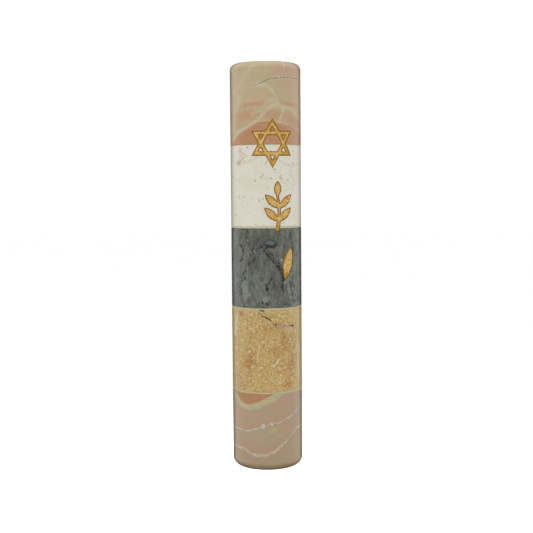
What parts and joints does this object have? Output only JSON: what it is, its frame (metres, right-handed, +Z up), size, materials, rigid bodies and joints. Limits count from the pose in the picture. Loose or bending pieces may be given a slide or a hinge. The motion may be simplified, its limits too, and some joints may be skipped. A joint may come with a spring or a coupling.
{
  "type": "mezuzah case",
  "caption": "Half-round bar of bonded stone blocks, bored for a rolled parchment scroll behind a rubber plug, with gold-filled engraved ornaments and a taped flat back.",
  "frame": {"origin": "centre of the mounting tape's outer face, on the wall plane", "axes": "+Z up along the case; +Y out of the back, into the wall; +X to the right seen from the front"},
  "size_m": [0.0262, 0.0234, 0.15],
  "materials": {
    "pink_stone": "satin",
    "white_stone": "satin",
    "grey_stone": "satin",
    "golden_stone": "satin",
    "seam_resin": "satin",
    "gold_fill": "satin",
    "parchment": "matte",
    "plug_rubber": "matte",
    "foam_tape": "matte"
  },
  "bodies": {
    "case": {"stone_top": "pink_stone", "stone_white": "white_stone", "stone_grey": "grey_stone", "stone_golden": "golden_stone", "stone_bottom": "pink_stone", "resin_seam_1": "seam_resin", "resin_seam_2": "seam_resin", "resin_seam_3": "seam_resin", "resin_seam_4": "seam_resin", "ornament_star": "gold_fill", "ornament_sprig": "gold_fill", "ornament_leaf": "gold_fill", "back_tape": "foam_tape"},
    "scroll": {"parchment_scroll": "parchment"},
    "plug": {"bore_plug": "plug_rubber"}
  },
  "joints": [
    {"name": "scroll_draw", "type": "slide", "parent": "case", "child": "scroll", "axis": [0, 0, -1], "range_m": [0, 0.135]},
    {"name": "plug_pull", "type": "slide", "parent": "scroll", "child": "plug", "axis": [0, 0, -1], "range_m": [0, 0.03]}
  ]
}
